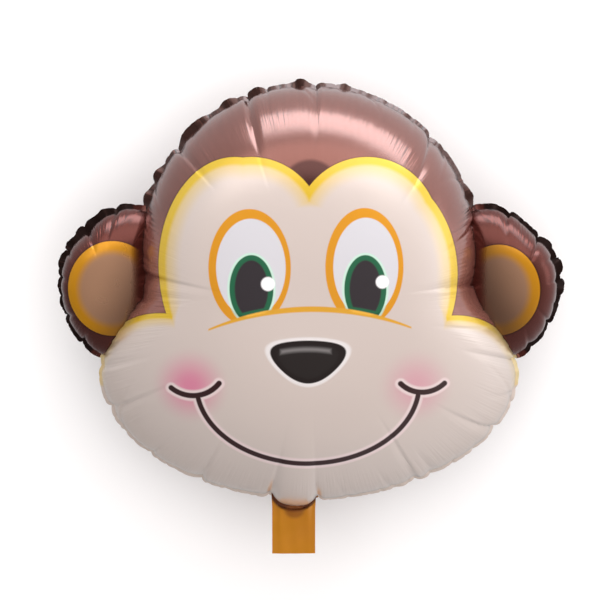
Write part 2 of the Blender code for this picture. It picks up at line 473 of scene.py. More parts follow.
@dataclass
class Envelope:
    """The whole skin: head, ears, seam and neck, in one closed mesh.

    The film's way, kept in an attribute, is a point on a circle for the direction round the lobe, and how near the
    seam is, which fades along the film with the lobe's fade. The finishes and the fine folds follow it. A main crease
    is given in degrees, depth, reach and lean in degrees, and a crescent of flat seam by its ends in degrees.
    """

    seam_height: float
    head: HeadLobe = field(default_factory=HeadLobe)
    ear_sides: tuple[int, int] = (1, -1)
    head_rings: dict[Side, int] = field(default_factory=lambda: {Side.FRONT: 58, Side.BACK: 32})
    ear_rings: dict[Side, int] = field(default_factory=lambda: {Side.FRONT: 26, Side.BACK: 18})
    stations: int = 800
    ear_seam_stations: int = 140
    plain_ends: int = 10
    seam_width: float = 0.0038
    crescent_width: float = 0.0040
    ear_seam_width: float = 0.0094
    seam_ruffle: float = 0.0006
    ruffle_waves: tuple[tuple[int, float], ...] = ((31, 0.5), (67, 0.5), (118, 0.6), (171, 0.5))
    seam_droop: float = 0.75
    rim_thinning: float = 0.3
    ear_flaps: tuple[float, float, float] = (0.0062, 0.021, 0.9)
    ear_swing: tuple[float, float, float] = (0.027, 0.071, 1.1)
    ear_seam_least: float = 0.40
    ear_droop: float = 0.05
    flap_droop: float = 0.25
    ear_clearance: float = 0.004
    notch_limit: float = 0.9
    innermost_root: float = 0.7
    neck_length: float = 0.0490
    neck_flare: float = 0.0008
    neck_rows: int = 26
    neck_sag: float = 0.0022
    neck_ripple: float = 0.0006
    neck_settling: float = 5.0
    chin_puff: float = 2.6
    chin_puff_fade: float = 9.0
    ring_crowding: float = 0.35
    root_pull_power: int = 14
    head_fade: float = 0.045
    ear_fade: float = 0.020
    head_way: float = 0.20
    ear_way: float = 0.07
    neck_sealed_edge: float = 0.004
    neck_puff: float = 0.0011
    panel_tilt: float = 0.0016
    panel_reach: float = 0.095
    panel_start: float = 0.016
    panel_sharpness: float = 14.0
    left_ear_shift: float = 7
    main_creases: tuple[tuple[float, float, float, float], ...] = (
        (6, 0.0042, 0.110, 2.5),
        (26, 0.0040, 0.075, -4.0),
        (54, 0.0046, 0.118, -6.0),
        (88, 0.0042, 0.110, -0.5),
        (107, 0.0046, 0.145, 2.0),
        (131, 0.0048, 0.108, -2.0),
        (170, 0.0042, 0.122, 0.0),
        (179, 0.0030, 0.090, -3.0),
        (198, 0.0030, 0.105, 0.0),
        (208, 0.0046, 0.135, 2.0),
        (224, 0.0028, 0.090, 1.0),
        (239, 0.0044, 0.125, -2.5),
        (258, 0.0044, 0.110, 1.0),
        (273, 0.0042, 0.080, -1.0),
        (301, 0.0046, 0.140, 1.5),
        (305, 0.0028, 0.085, 1.0),
        (326, 0.0046, 0.115, -4.0),
        (344, 0.0040, 0.110, 0.0),
    )
    ear_creases: tuple[tuple[float, float, float, float], ...] = (
        (-74, 0.0040, 0.040, 0.0),
        (-46, 0.0040, 0.046, 4.0),
        (-22, 0.0026, 0.030, -3.0),
        (4, 0.0034, 0.040, 2.0),
        (33, 0.0034, 0.040, 3.0),
        (62, 0.0044, 0.052, -6.0),
        (92, 0.0044, 0.052, 6.0),
    )
    crescents: tuple[tuple[float, float], ...] = (
        (158, 163), (151, 156.5), (144.5, 150), (138, 142), (118.5, 129), (110, 114.5), (102, 107), (90.3, 94.8),
        (79.5, 81.5), (31, 36),
    )

    def __post_init__(self) -> None:
        """Sets up the lobes and their creases."""
        self.ears = {side: EarLobe.on(self.head, side) for side in self.ear_sides}
        folds = fill_creases(
            self.main_creases, radius=0.20, fold_width=0.015, pitches=(0.024, 0.0095), reaches=(0.075, 0.042),
            depths=(0.0013, 0.0007), seed=11,
        )
        self.head_folds = {Side.FRONT: folds, Side.BACK: folds.longer(0.85, -1.0)}
        self.ear_folds = {side: self.folds_of_ear(side) for side in self.ear_sides}
        self.stock = Stock()
        self.edge_points: dict[Side, np.ndarray] = {}
        self.notches = {side: self.find_notches(side) for side in self.ear_sides}

    def folds_of_ear(self, side: int) -> Creases:
        """Returns an ear's creases, mirrored for the left ear and shifted a little."""
        main = tuple((a if side > 0 else 180 - a - self.left_ear_shift, *rest) for a, *rest in self.ear_creases)
        return fill_creases(
            main, radius=0.065, fold_width=0.011, pitches=(0.0125, 0.0065), reaches=(0.018, 0.010),
            depths=(0.0010, 0.0006), seed=31 + side,
        )

    def tilt_panels(self, angles: np.ndarray, from_seam: np.ndarray) -> np.ndarray:
        """Finds how the film stands between two main creases, higher at one and lower at the next.

        Args:
            angles: Directions of the columns.
            from_seam: The points' distances from the seam.

        Returns:
            How far each point is pushed in.
        """
        corners = np.radians(sorted(crease[0] for crease in self.main_creases))
        corners = np.concatenate([corners, corners[:1] + 2 * math.pi])
        turned = (angles - corners[0]) % (2 * math.pi) + corners[0]
        panel = np.searchsorted(corners, turned, side="right") - 1
        share = (turned - corners[panel]) / (corners[panel + 1] - corners[panel])
        lift = np.random.default_rng(3).uniform(0.4, 1.0, len(corners))
        lift *= np.where(np.arange(len(corners)) % 3, 1, -1)
        swing = lift[panel] * (2 * share - 1) * smooth_step(np.minimum(share, 1 - share) * self.panel_sharpness)
        fade = smooth_step(1 - from_seam / self.panel_reach) * smooth_step(from_seam / self.panel_start)
        return self.panel_tilt * swing * fade

    def find_notches(self, side: int) -> tuple[float, float]:
        """Finds where an ear's seam meets the head's.

        Args:
            side: The ear's side.

        Returns:
            The directions of the upper and the lower notch from the head's middle.
        """

        def in_ear(rise: np.ndarray) -> np.ndarray:
            """Returns whether the head's seam, so many radians above the side, is inside the ear."""
            point = self.head.points(rise if side > 0 else math.pi - rise, np.array(1.0))
            return self.ears[side].share_at(point[..., 0], point[..., 1])[1] < 1

        limits = (self.notch_limit, -self.notch_limit)
        rises = [float(close_in(np.array(0.0), np.array(limit), in_ear)) for limit in limits]
        up, low = rises if side > 0 else [math.pi - rise for rise in rises]
        return up, low

    def head_angles(self) -> tuple[np.ndarray, dict[str, slice]]:
        """Spaces the directions round the head so that some fall on the notches.

        Returns:
            The directions, from the right ear's lower notch on, and the slice of each stretch.
        """
        right_up, right_low = self.notches[1]
        left_up, left_low = self.notches[-1]
        corners = [right_low, right_up, left_up, left_low, right_low + 2 * math.pi]
        names = ["right_ear", "dome", "left_ear", "jowls"]
        angles, stretches, total = [], {}, 0
        for name, start, end in zip(names, corners, corners[1:]):
            count = max(8, round(self.stations * (end - start) / (2 * math.pi)))
            angles.append(np.linspace(start, end, count, endpoint=False))
            stretches[name] = slice(total, total + count)
            total += count
        return np.concatenate(angles), stretches

    def edge_shares(self, angles: np.ndarray, stretches: dict[str, slice]) -> np.ndarray:
        """Finds how far out the head's sheet goes: to the seam, or to the fold where an ear begins.

        Args:
            angles: The directions round the head.
            stretches: Which of them pass through an ear.

        Returns:
            The share of the way out in each direction.
        """
        shares = np.ones_like(angles)
        for side, name in ((1, "right_ear"), (-1, "left_ear")):
            part = slice(stretches[name].start + 1, stretches[name].stop)
            inner = np.full(part.stop - part.start, self.innermost_root)
            test = partial(self.above_ear, self.ears[side], angles[part])
            shares[part] = close_in(inner, np.ones_like(inner), test)
        return shares

    def above_ear(self, ear: EarLobe, angles: np.ndarray, share: np.ndarray) -> np.ndarray:
        """Returns which points of the head's sheet are higher than the ear's sheet there."""
        point = self.head.points(angles, share)
        _, ear_share = ear.share_at(point[..., 0], point[..., 1])
        return point[..., 2] > ear.height(np.clip(ear_share, 0, 1))

    def to_world(self, points: np.ndarray, side: Side) -> np.ndarray:
        """Turns front-sheet points about the seam's plane into world points of one sheet."""
        flip = np.array([1.0, 1.0, side.value])
        return points * flip + np.array([0.0, 0.0, self.seam_height])

    def head_sheet(self, angles: np.ndarray, edge: np.ndarray, side: Side) -> np.ndarray:
        """Adds the head's front or back sheet.

        Args:
            angles: Directions round the head.
            edge: Share of the way out at which the sheet ends.
            side: Which sheet.

        Returns:
            The indices of its last ring.
        """
        rings = self.head_rings[side]
        steps = np.arange(1, rings + 1)[:, None] / rings
        steps = (1 + self.ring_crowding) * steps - self.ring_crowding * steps**2
        slope = steps * np.arcsin(edge**1.5)
        share = np.sin(slope) ** (2 / 3)
        grid_angles = np.broadcast_to(angles, share.shape)
        smooth = self.head.points(grid_angles, share)
        from_seam = self.run_from_edge(smooth)
        out = self.head.spread(grid_angles, share)
        groove = self.head_folds[side].groove(angles, out, from_seam) + self.tilt_panels(angles, from_seam)
        points = smooth - self.head.normals(grid_angles, share) * groove[..., None]
        points[..., 2] = np.maximum(points[..., 2], self.head.film_gap / 2)
        if side is Side.BACK:
            points[..., 2] = np.minimum(points[..., 2], self.head.rest_depth())
        way = self.ways(grid_angles, np.exp(-from_seam / self.head_fade), self.head_way)
        indices = self.stock.add(self.to_world(points, side), way)
        top = self.head.half_thickness if side is Side.FRONT else self.head.rest_depth()
        pole = self.pole(np.array([[0.0, 0.0, top]]), side, self.head_way)
        zone = Zone.FACE if side is Side.FRONT else Zone.BACK
        self.stock.fan(pole, indices[0], zone)
        self.stock.grid(indices, zone)
        self.edge_points[side] = points[-1]
        return indices[-1]

    @staticmethod
    def ways(angles: np.ndarray, nearness: np.ndarray, radius: float) -> np.ndarray:
        """Returns the film's way at each point: a place on a circle, and how near the seam it is."""
        return np.stack([radius * np.cos(angles), radius * np.sin(angles), nearness], axis=-1)

    def pole(self, top: np.ndarray, side: Side, radius: float) -> int:
        """Adds the middle point of a lobe's sheet and returns its index."""
        return self.stock.add(self.to_world(top, side), np.array([radius, 0.0, 0.0]))[0]

    @staticmethod
    def run_from_edge(points: np.ndarray) -> np.ndarray:
        """Measures how far each point is from the last ring, along the film."""
        steps = np.linalg.norm(np.diff(points, axis=0), axis=-1)
        run = np.cumsum(steps[::-1], axis=0)[::-1]
        return np.concatenate([run, np.zeros((1, points.shape[1]))])

    def ear_sheet(self, ear_side: int, root: np.ndarray, root_points: np.ndarray, side: Side) -> np.ndarray:
        """Adds an ear's front or back sheet between the fold at its root and its own seam.

        Args:
            ear_side: Which ear.
            root: Indices of the head's points along the root, from notch to notch.
            root_points: Those points, with the seam's plane at height 0.
            side: Which sheet.

        Returns:
            The indices of the ear's own seam points, notches left out.
        """
        ear = self.ears[ear_side]
        root_angle, root_share = ear.share_at(root_points[:, 0], root_points[:, 1])
        root_share = np.minimum(root_share, 1.0)
        start, end = root_angle[-1], root_angle[0]
        turn = (end - start) % (2 * math.pi)
        seam_angle = start + turn * np.arange(1, self.ear_seam_stations + 1) / (self.ear_seam_stations + 1)
        angles = np.concatenate([root_angle, seam_angle])
        edge = np.concatenate([root_share, np.ones_like(seam_angle)])
        rings = self.ear_rings[side]
        steps = np.arange(1, rings + 1)[:, None] / rings
        share = np.sin(steps * np.arcsin(np.clip(edge, 0, 1) ** 1.5)) ** (2 / 3)
        grid_angles = np.broadcast_to(angles, share.shape)
        smooth = ear.points(grid_angles, share)
        from_edge = self.run_from_edge(smooth)
        on_seam = np.concatenate([np.zeros_like(root_angle), np.ones_like(seam_angle)])
        from_end = np.minimum(np.arange(len(seam_angle)), np.arange(len(seam_angle))[::-1])
        on_seam[len(root_angle) :] = smooth_step(from_end / self.plain_ends + 1 / self.plain_ends)
        groove = self.ear_folds[ear_side].groove(angles, ear.spread(grid_angles, share), from_edge) * on_seam
        points = smooth - ear.normals(grid_angles, share) * groove[..., None]
        pull = np.zeros((len(angles), 3))
        pull[: len(root_angle)] = root_points - smooth[-1, : len(root_angle)]
        points += pull * (steps**self.root_pull_power)[..., None]
        points[..., 2] = np.maximum(points[..., 2], ear.film_gap / 2)
        way = self.ways(grid_angles, np.exp(-from_edge / self.ear_fade) * on_seam, self.ear_way)
        inner = self.stock.add(self.to_world(points[:-1], side), way[:-1])
        seam = self.stock.add(self.to_world(points[-1, len(root) :], side), way[-1, len(root) :])
        pole = self.pole(np.array([[*ear.middle, ear.half_thickness]]), side, self.ear_way)
        rows = np.concatenate([inner, np.concatenate([root, seam])[None]])
        zone = Zone.EAR if side is Side.FRONT else Zone.BACK
        self.stock.fan(pole, rows[0], zone)
        self.stock.grid(rows, zone)
        return seam

    def seam_loop(self, edges: dict[Side, np.ndarray], stretches: dict[str, slice]) -> dict[Side, np.ndarray]:
        """Adds the ears and lists the seam's points all the way round.

        Args:
            edges: The last ring of each of the head's sheets.
            stretches: Which of its points pass through an ear.

        Returns:
            For each sheet the indices of its seam points, counter-clockwise from the right ear's upper notch.
        """
        loops = {}
        for side in Side:
            edge, points = edges[side], self.edge_points[side]
            right, left = stretches["right_ear"], stretches["left_ear"]
            right_root = np.arange(right.stop, right.start - 1, -1)
            left_root = np.arange(left.stop, left.start - 1, -1)
            right_seam = self.ear_sheet(1, edge[right_root], points[right_root], side)
            left_seam = self.ear_sheet(-1, edge[left_root], points[left_root], side)
            dome = edge[right.stop : left.start + 1]
            jowls = np.concatenate([edge[left.stop :], edge[right.start : right.start + 1]])
            loops[side] = np.concatenate([dome, left_seam, jowls, right_seam])
        return loops

    def weld(self, loops: dict[Side, np.ndarray]) -> None:
        """Adds the seam all round, and the neck, which carries it on below the chin.

        Args:
            loops: Each sheet's seam points.
        """
        places = np.concatenate(self.stock.points)
        line = places[loops[Side.FRONT]]
        tangent = np.roll(line, -2, axis=0) - np.roll(line, 2, axis=0)
        outward = np.stack([tangent[:, 1], -tangent[:, 0], np.zeros(len(line))], axis=-1)
        outward /= np.linalg.norm(outward, axis=1, keepdims=True)
        outward += np.roll(outward, 1, axis=0) + np.roll(outward, -1, axis=0)
        outward /= np.linalg.norm(outward, axis=1, keepdims=True)
        run = np.cumsum(np.linalg.norm(np.roll(line, -1, axis=0) - line, axis=1))
        neck = self.neck_columns(line)
        outward[neck > 0] = (0.0, -1.0, 0.0)
        width, droop = self.seam_shape(line, run, self.on_ear(line))
        ruffle = self.ruffles(run, np.random.default_rng(5)) * (1 - neck)
        droop *= 1 - neck
        ways = np.concatenate(self.stock.ways)
        rims = {}
        for side in Side:
            rows = [loops[side]]
            for part in (0.5, 1.0):
                film = self.head.film_gap / 2 * (1 - self.rim_thinning * part)
                row = line + outward * (width * part)[:, None]
                row[:, 2] = self.seam_height + side.value * film + (ruffle - droop * width) * part
                rows.append(self.stock.add(row, ways[loops[side]]))
            zone = np.where(self.on_ear(line), Zone.EAR.value, Zone.FACE.value)
            zone = zone if side is Side.FRONT else np.full(len(line), Zone.BACK.value)
            self.stock.grid(np.array(rows), np.where(neck > 0, Zone.NECK.value, zone))
            rims[side] = rows[-1]
        self.close_rim(rims, neck > 0)

    def seam_shape(self, line: np.ndarray, run: np.ndarray, on_ear: np.ndarray) -> tuple[np.ndarray, np.ndarray]:
        """Finds how wide the seam is and how steeply it turns down along the edge.

        Args:
            line: The seam's inner line.
            run: Distance along it.
            on_ear: Which of its points belong to an ear.

        Returns:
            The width and the slope at each point. The seam lies flat and wide in the crescents between folds.
        """
        degrees = np.degrees(np.arctan2(line[:, 1], line[:, 0])) % 360
        flat = np.zeros_like(run)
        for start, end in self.crescents:
            share = np.clip((degrees - start) / (end - start), 0, 1)
            flat += np.sin(math.pi * share) ** 0.6
        flaps = np.abs(self.wander(run, *self.ear_flaps)) ** 0.7
        swing = 0.5 + 0.5 * self.wander(run, *self.ear_swing)
        ear_width = self.ear_seam_width * (self.ear_seam_least + (1 - self.ear_seam_least) * flaps * swing)
        width = np.where(on_ear, ear_width, self.seam_width + self.crescent_width * flat)
        ear_droop = self.ear_droop + self.flap_droop * flaps
        droop = np.where(on_ear, ear_droop, self.seam_droop * (1 - np.clip(flat, 0, 1)))
        return self.soften(width), self.soften(droop)

    @staticmethod
    def wander(run: np.ndarray, wave: float, drift: float, amount: float) -> np.ndarray:
        """Returns a wave between -1 and 1 along a run, whose pace goes up and down with a longer one."""
        return np.sin(run / wave + amount * np.sin(run / drift))

    @staticmethod
    def soften(values: np.ndarray) -> np.ndarray:
        """Returns the mean of each value in a loop and its two neighbours on either side."""
        return np.convolve(np.concatenate([values[-2:], values, values[:2]]), np.ones(5) / 5, "valid")

    def on_ear(self, line: np.ndarray) -> np.ndarray:
        """Returns which of the seam's points belong to an ear."""
        past_head = np.hypot(line[:, 0], line[:, 1]) - self.head.outline(np.arctan2(line[:, 1], line[:, 0]))
        return past_head > self.ear_clearance

    def ruffles(self, run: np.ndarray, random: np.random.Generator) -> np.ndarray:
        """Returns how far the free edge of the seam waves up and down.

        Args:
            run: Distance along the seam.
            random: Fixed source of irregularity.

        Returns:
            The height of each point.
        """
        total = run[-1]
        wave = np.zeros_like(run)
        for turns, share in self.ruffle_waves:
            wave += share * np.sin(2 * math.pi * turns * run / total + random.uniform(0, 2 * math.pi))
        return self.seam_ruffle * wave

    def neck_columns(self, line: np.ndarray) -> np.ndarray:
        """Returns 1 for the seam's points that run on into the neck, else 0."""
        half = self.head.neck_width / 2 + self.neck_flare
        across = np.abs(line[:, 0] - self.head.neck_offset)
        return ((across < half) & (line[:, 1] < 0)).astype(float)

    def close_rim(self, rims: dict[Side, np.ndarray], in_neck: np.ndarray) -> None:
        """Closes the seam's free edge, and adds the neck's two sheets with their own edges.

        Args:
            rims: The seam's outer points on each sheet.
            in_neck: Which of them the neck carries on.
        """
        front, back = rims[Side.FRONT], rims[Side.BACK]
        following = np.roll(in_neck, -1)
        bare = ~(in_neck & following)
        quads = np.stack([front, np.roll(front, -1), np.roll(back, -1), back], axis=-1)[bare]
        self.stock.faces.append(quads)
        self.stock.zones.append(np.full(len(quads), Zone.BACK.value))
        columns = np.flatnonzero(in_neck)
        sheets = [self.neck_sheet(rims[side][columns], side) for side in Side]
        edges = [np.concatenate([rows[:, 0], rows[-1, 1:], rows[-2::-1, -1]]) for rows in sheets]
        self.stock.grid(np.array(edges), Zone.NECK, closed=False)

    def neck_sheet(self, rim: np.ndarray, side: Side) -> np.ndarray:
        """Adds one sheet of the neck.

        It swells a little between its sealed edges, most under the chin, and sags and ripples towards its end.

        Args:
            rim: The seam's outer points that it starts from.
            side: Which sheet.

        Returns:
            The indices of its rows.
        """
        top = np.concatenate(self.stock.points)[rim]
        end = -(self.head.chin() + self.head.throat_swell + self.neck_length)
        down = np.linspace(0, 1, self.neck_rows + 1)[1:, None]
        y = top[:, 1] + (end - top[:, 1]) * down
        below = np.clip((-y - self.head.chin()) / self.neck_flare, 0, 1)
        half = self.head.neck_width / 2 + self.neck_flare * (1 - np.sin(np.arccos(1 - below)))
        across = (top[:, 0] - self.head.neck_offset) / (self.head.neck_width / 2 + self.neck_flare)
        target = self.head.neck_offset + across / np.abs(across).max() * half
        x = top[:, 0] + (target - top[:, 0]) * smooth_step(down * self.neck_settling)
        inner = np.clip((1 - np.abs(across)) * half / self.neck_sealed_edge - 1, 0, 1)
        wave = 0.6 + 0.4 * np.cos(7 * across + 3.0 * down) * np.cos(2.5 * across - 5 * down)
        swell = self.neck_puff * smooth_step(inner) * (wave + self.chin_puff * np.exp(-down * self.chin_puff_fade))
        film = self.head.film_gap / 2 * (1 - self.rim_thinning)
        droop = -self.neck_sag * down**2 + self.neck_ripple * np.sin(9 * down + 2 * across)
        z = self.seam_height + side.value * (film + swell) + droop
        points = np.stack([x, y, np.broadcast_to(z, x.shape)], axis=-1)
        rows = np.concatenate([rim[None], self.stock.add(points, np.zeros(3))])
        self.stock.grid(rows, Zone.NECK, closed=False)
        return rows

    def build(self) -> bpy.types.Mesh:
        """Builds the skin.

        Returns:
            Its closed mesh.
        """
        angles, stretches = self.head_angles()
        edge = self.edge_shares(angles, stretches)
        edges = {side: self.head_sheet(angles, edge, side) for side in Side}
        self.weld(self.seam_loop(edges, stretches))
        return self.stock.mesh("balloon_envelope")


def srgb(red: int, green: int, blue: int) -> tuple[float, float, float, float]:
    """Turns a colour in screen values, 0 to 255, into a linear one with alpha."""
    linear = [((v / 255 + 0.055) / 1.055) ** 2.4 if v > 10 else v / 255 / 12.92 for v in (red, green, blue)]
    return (*linear, 1.0)


class Nodes:
    """Adds nodes to a tree and joins them."""

    def __init__(self, tree: bpy.types.NodeTree) -> None:
        """Takes the tree."""
        self.tree = tree

    def feed(self, socket: Socket, value: object) -> None:
        """Joins a socket to a node's output, or sets its constant."""
        if isinstance(value, Socket):
            self.tree.links.new(value, socket)
        else:
            socket.default_value = value

    def add(self, kind: str, inputs: dict[str | int, object] | None = None, **settings: object) -> bpy.types.Node:
        """Adds a node.

        Args:
            kind: The node's type, of which a leading ShaderNode may be left out.
            inputs: Values or outputs for its sockets.
            settings: Its other settings.

        Returns:
            The node.
        """
        node = self.tree.nodes.new(kind if "Node" in kind else "ShaderNode" + kind)
        for name, value in settings.items():
            setattr(node, name, value)
        for name, value in (inputs or {}).items():
            self.feed(node.inputs[name], value)
        return node

    def math(self, operation: str, *values: object) -> Socket:
        """Adds a Math node and returns its result."""
        return self.add("Math", dict(enumerate(values)), operation=operation).outputs[0]

    def vector(self, operation: str, *values: object) -> bpy.types.Node:
        """Adds a Vector Math node."""
        return self.add("VectorMath", dict(enumerate(values)), operation=operation)


class Graph(Nodes):
    """Adds shader nodes to a material and joins them."""

    def __init__(self, name: str) -> None:
        """Starts a material with no nodes, under a name."""
        self.material = bpy.data.materials.new(name)
        self.material.use_nodes = True
        super().__init__(self.material.node_tree)
        self.tree.nodes.clear()

    def place(self) -> Socket:
        """Returns Object coordinates."""
        return self.add("TexCoord").outputs["Object"]

    def film_way(self) -> tuple[Socket, Socket]:
        """Returns the film's way, and its last part alone, which says how near the seam is."""
        way = self.add("Attribute", attribute_name="foil_way").outputs["Vector"]
        return way, self.add("SeparateXYZ", {0: way}).outputs[2]

    def principled(self, inputs: dict[str | int, object]) -> Material:
        """Adds the shader and the output, and returns the finished material."""
        self.add("OutputMaterial", {0: self.add("BsdfPrincipled", inputs).outputs[0]})
        return self.material

    def rise(
        self, value: object, start: float, end: float, low: float = 0.0, high: float = 1.0
    ) -> Socket:
        """Returns a soft step from low to high, as a value goes from start to end."""
        inputs = {"Value": value, "From Min": start, "From Max": end, "To Min": low, "To Max": high}
        return self.add("MapRange", inputs, interpolation_type="SMOOTHSTEP").outputs[0]

    def blend(self, factor: object, first: object, second: object, mode: str = "MIX") -> Socket:
        """Returns the first colour, with the second over it where the factor is 1."""
        node = self.tree.nodes.new("ShaderNodeMix")
        node.data_type = "RGBA"
        node.blend_type = mode
        for index, value in ((0, factor), (6, first), (7, second)):
            self.feed(node.inputs[index], value)
        return node.outputs[2]

    def level(self, factor: object, first: object, second: object) -> Socket:
        """Returns the first number, going over to the second as the factor goes to 1."""
        node = self.tree.nodes.new("ShaderNodeMix")
        for index, value in ((0, factor), (2, first), (3, second)):
            self.feed(node.inputs[index], value)
        return node.outputs[0]

    def noise(self, place: object, scale: float, detail: float = 2.0, roughness: float = 0.5) -> Socket:
        """Returns a noise value about 0.5."""
        inputs = {"Vector": place, "Scale": scale, "Detail": detail, "Roughness": roughness}
        return self.add("TexNoise", inputs).outputs["Fac"]


@dataclass(frozen=True)
class Film:
    """Metallised film: ink over a thin mirror, drawn into fine folds towards the seam.

    The mirror is the metallic share of bare film. Its rim along the seam is painted darker, as painted shade and dark
    reflection, by the rim's shade, from where the seam is as near as the rim's start, and fully so at its end. Scales
    are in features per metre.
    """

    name: str
    roughness: float = 0.22
    fold_pitch: float = 0.0040
    fold_height: float = 0.00115
    crinkle_size: float = 0.009
    crinkle_height: float = 0.00007
    coat: float = 0.8
    coat_ior: float = 1.75
    coat_roughness: float = 0.20
    satin_folds: float = 0.40
    satin_roughness: float = 0.12
    mirror: float = 0.88
    rim_start: float = 0.975
    rim_end: float = 0.995
    rim_shade: float = 0.72
    patch_scale: float = 11.0
    cloud_scale: float = 9.0
    streak_scales: tuple[float, float, float] = (260.0, 6.0, 6.0)
    nick_scale: float = 75.0
    smudge_scale: float = 23.0

    def relief(self, graph: Graph, place: Socket, satin: object) -> Socket:
        """Adds the folds that are too fine for the mesh.

        Args:
            graph: The material.
            place: Object coordinates.
            satin: 1 where opaque ink stiffens the film, 0 where the film is bare.

        Returns:
            The bumped normal.
        """
        way, nearness = graph.film_way()
        drawn_out = graph.vector("MULTIPLY", way, (1.0, 1.0, 0.005)).outputs[0]
        folds = graph.noise(drawn_out, 1.6 / self.fold_pitch, 1.0, 0.5)
        patches = graph.rise(graph.noise(place, self.patch_scale, 1.0), 0.28, 0.50, 0.25, 1.0)
        strength = graph.math("MULTIPLY", graph.rise(nearness, 0.11, 0.26), patches)
        fold_height = graph.level(satin, self.fold_height, self.satin_folds * self.fold_height)
        strength = graph.math("MULTIPLY", strength, fold_height)
        height = graph.math("MULTIPLY", folds, strength)
        crinkle = graph.noise(place, 1 / self.crinkle_size, 3.0, 0.45)
        height = graph.math("MULTIPLY_ADD", crinkle, self.crinkle_height, height)
        return graph.add("Bump", {"Strength": 1.0, "Distance": 1.0, "Height": height}).outputs[0]

    def brown(self, graph: Graph, place: Socket) -> Socket:
        """Adds the brown ink, which is laid on a little unevenly, with painted shade darkening its rim along the
        seam.

        Args:
            graph: The material.
            place: Object coordinates.

        Returns:
            The colour.
        """
        cloud = graph.noise(place, self.cloud_scale, 2.0, 0.5)
        streak = graph.noise(graph.vector("MULTIPLY", place, self.streak_scales).outputs[0], 1.0, 1.0)
        tint = graph.math("MULTIPLY_ADD", streak, 0.25, graph.math("MULTIPLY", cloud, 0.75))
        ink = graph.blend(tint, BROWN_SHADOW, BROWN)
        # Painted shade and dark reflection: the film is darkened towards near-black along the seam's rim.
        _, nearness = graph.film_way()
        wander = 1.0 - self.rim_start
        ragged = graph.math("MULTIPLY_ADD", graph.noise(place, self.nick_scale, 1.0), -wander, nearness)
        start, end = self.rim_start - wander / 2, self.rim_end - wander / 2
        return graph.blend(graph.rise(ragged, start, end, 0.0, self.rim_shade), ink, RIM_PAINTED_SHADE)

    def finish(
        self, graph: Graph, colour: object, metallic: object, place: Socket, satin: object = 0.0
    ) -> Material:
        """Adds the shader.

        Args:
            graph: The material so far.
            colour: The ink's colour.
            metallic: How much of the mirror shows through it.
            place: Object coordinates.
            satin: 1 where the ink is opaque and dulls the film, 0 where the film is bare and bright.

        Returns:
            The material.
        """
        smudge = graph.noise(place, self.smudge_scale, 3.0, 0.6)
        rough = graph.math("MULTIPLY_ADD", smudge, 0.08, self.roughness - 0.04)
        rough = graph.math("MULTIPLY_ADD", satin, self.satin_roughness, rough)
        inputs = {
            "Base Color": colour,
            "Metallic": metallic,
            "Roughness": rough,
            "Normal": self.relief(graph, place, satin),
            "Coat Weight": self.coat,
            "Coat Roughness": self.coat_roughness,
            "Coat IOR": self.coat_ior,
        }
        return graph.principled(inputs)


# Painted shade colour of the film's rim along the seam.
RIM_PAINTED_SHADE = srgb(22, 12, 12)
BROWN = srgb(158, 104, 94)
BROWN_SHADOW = srgb(134, 78, 68)
OUTLINE_BROWN = srgb(74, 28, 28)
EDGE_YELLOW = srgb(232, 194, 40)
CREAM = srgb(226, 213, 206)
CREAM_SHADOW = srgb(216, 192, 170)
EYE_ORANGE = srgb(236, 160, 6)
EYE_WHITE = srgb(210, 209, 215)
PALE_GREEN = srgb(196, 232, 214)
GREEN = srgb(0, 96, 62)
PUPIL_BLACK = srgb(40, 37, 43)
GLINT_WHITE = srgb(250, 250, 252)
MUZZLE_ORANGE = srgb(238, 176, 44)
NOSE_EDGE = srgb(250, 246, 246)
NOSE_RIM = srgb(16, 12, 14)
NOSE_BLACK = srgb(24, 22, 23)
NOSE_SHEEN = srgb(142, 138, 138)
SMILE_EDGE = srgb(248, 228, 228)
SMILE_INK = srgb(38, 5, 10)
BLUSH_PINK = srgb(236, 122, 166)
# Painted reflection colour: the dark red disc on the brown between the brows.
DARK_REFLECTION_RED = srgb(76, 14, 6)
JOWL_YELLOW = srgb(222, 208, 170)
INNER_YELLOW = srgb(232, 206, 152)
EAR_GOLD = srgb(220, 152, 4)
EAR_TAN = srgb(184, 142, 112)
# Painted shade colour of the inner ear near its root.
EAR_ROOT_SHADE = srgb(66, 42, 34)
GOLD_SHADOW = srgb(204, 128, 0)
GOLD = srgb(226, 150, 4)
# Painted shadow colours on the neck: under the chin, and in the dent just below.
CHIN_SHADOW_BROWN = srgb(96, 44, 6)
DENT_SHADE_BROWN = srgb(150, 82, 10)


@dataclass(frozen=True)
class BrownFilm(Film):
    """The plain brown film of the back sheet and the seam."""

    def material(self) -> Material:
        """Returns the finished material."""
        graph = Graph(self.name)
        place = graph.place()
        return self.finish(graph, self.brown(graph, place), self.mirror, place)


